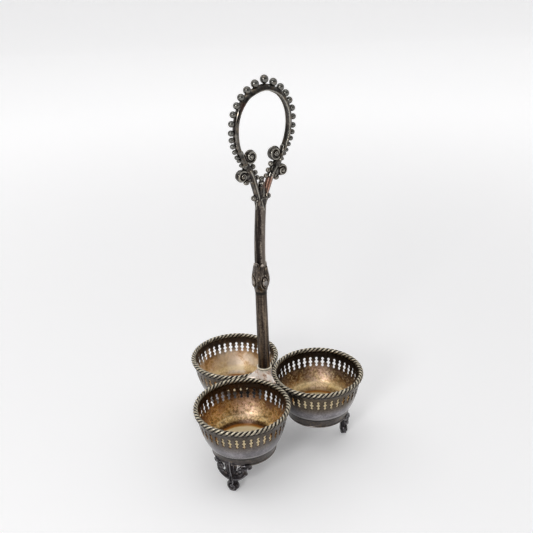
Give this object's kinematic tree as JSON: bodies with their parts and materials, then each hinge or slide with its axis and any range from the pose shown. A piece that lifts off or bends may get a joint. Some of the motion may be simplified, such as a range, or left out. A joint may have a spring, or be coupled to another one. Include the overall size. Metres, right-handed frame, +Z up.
{
  "type": "three-bowl serving stand",
  "caption": "Free-standing serving stand: pierced round bowls with roped rims on scroll feet, joined round a tall stem with a leaf knop and a beaded loop handle.",
  "frame": {"origin": "on the table, at the middle of the stand's bounding box seen from above; the stem's axis is 11.3 mm towards +Y from it", "axes": "+Z up along the lower stem; -Y from the stem towards the front bowl; +X towards the right bowl's side"},
  "size_m": [0.156, 0.1454, 0.3138],
  "materials": {
    "tarnished_plate": "tarnished silver plate, dark pewter grey with a soft sheen and brown-gold patina inside",
    "rope_plate": "silver plate rubbed bright on the strands, dark between them",
    "bright_plate": "silver plate kept bright, faintly pink",
    "dark_plate": "heavily tarnished cast silver plate, brown-black with worn highlights",
    "brass": "plain dull brass"
  },
  "bodies": {
    "root": {"bowl_front": "tarnished_plate", "bowl_right": "tarnished_plate", "bowl_left": "tarnished_plate", "rope_rim_front": "rope_plate", "rope_rim_right": "rope_plate", "rope_rim_left": "rope_plate", "base_band_front": "dark_plate", "base_band_right": "dark_plate", "base_band_left": "dark_plate", "foot_front": "dark_plate", "foot_right": "dark_plate", "foot_left": "dark_plate", "bowl_tie_front_right": "dark_plate", "bowl_tie_back": "dark_plate", "bowl_tie_front_left": "dark_plate", "centre_web": "bright_plate", "stem_collar": "bright_plate", "lower_stem": "dark_plate", "stem_knop": "dark_plate", "upper_stem": "dark_plate", "handle_fork": "dark_plate", "handle_ring": "dark_plate", "tie_rod": "brass", "rod_washer": "brass", "rod_nut": "brass"}
  },
  "joints": []
}
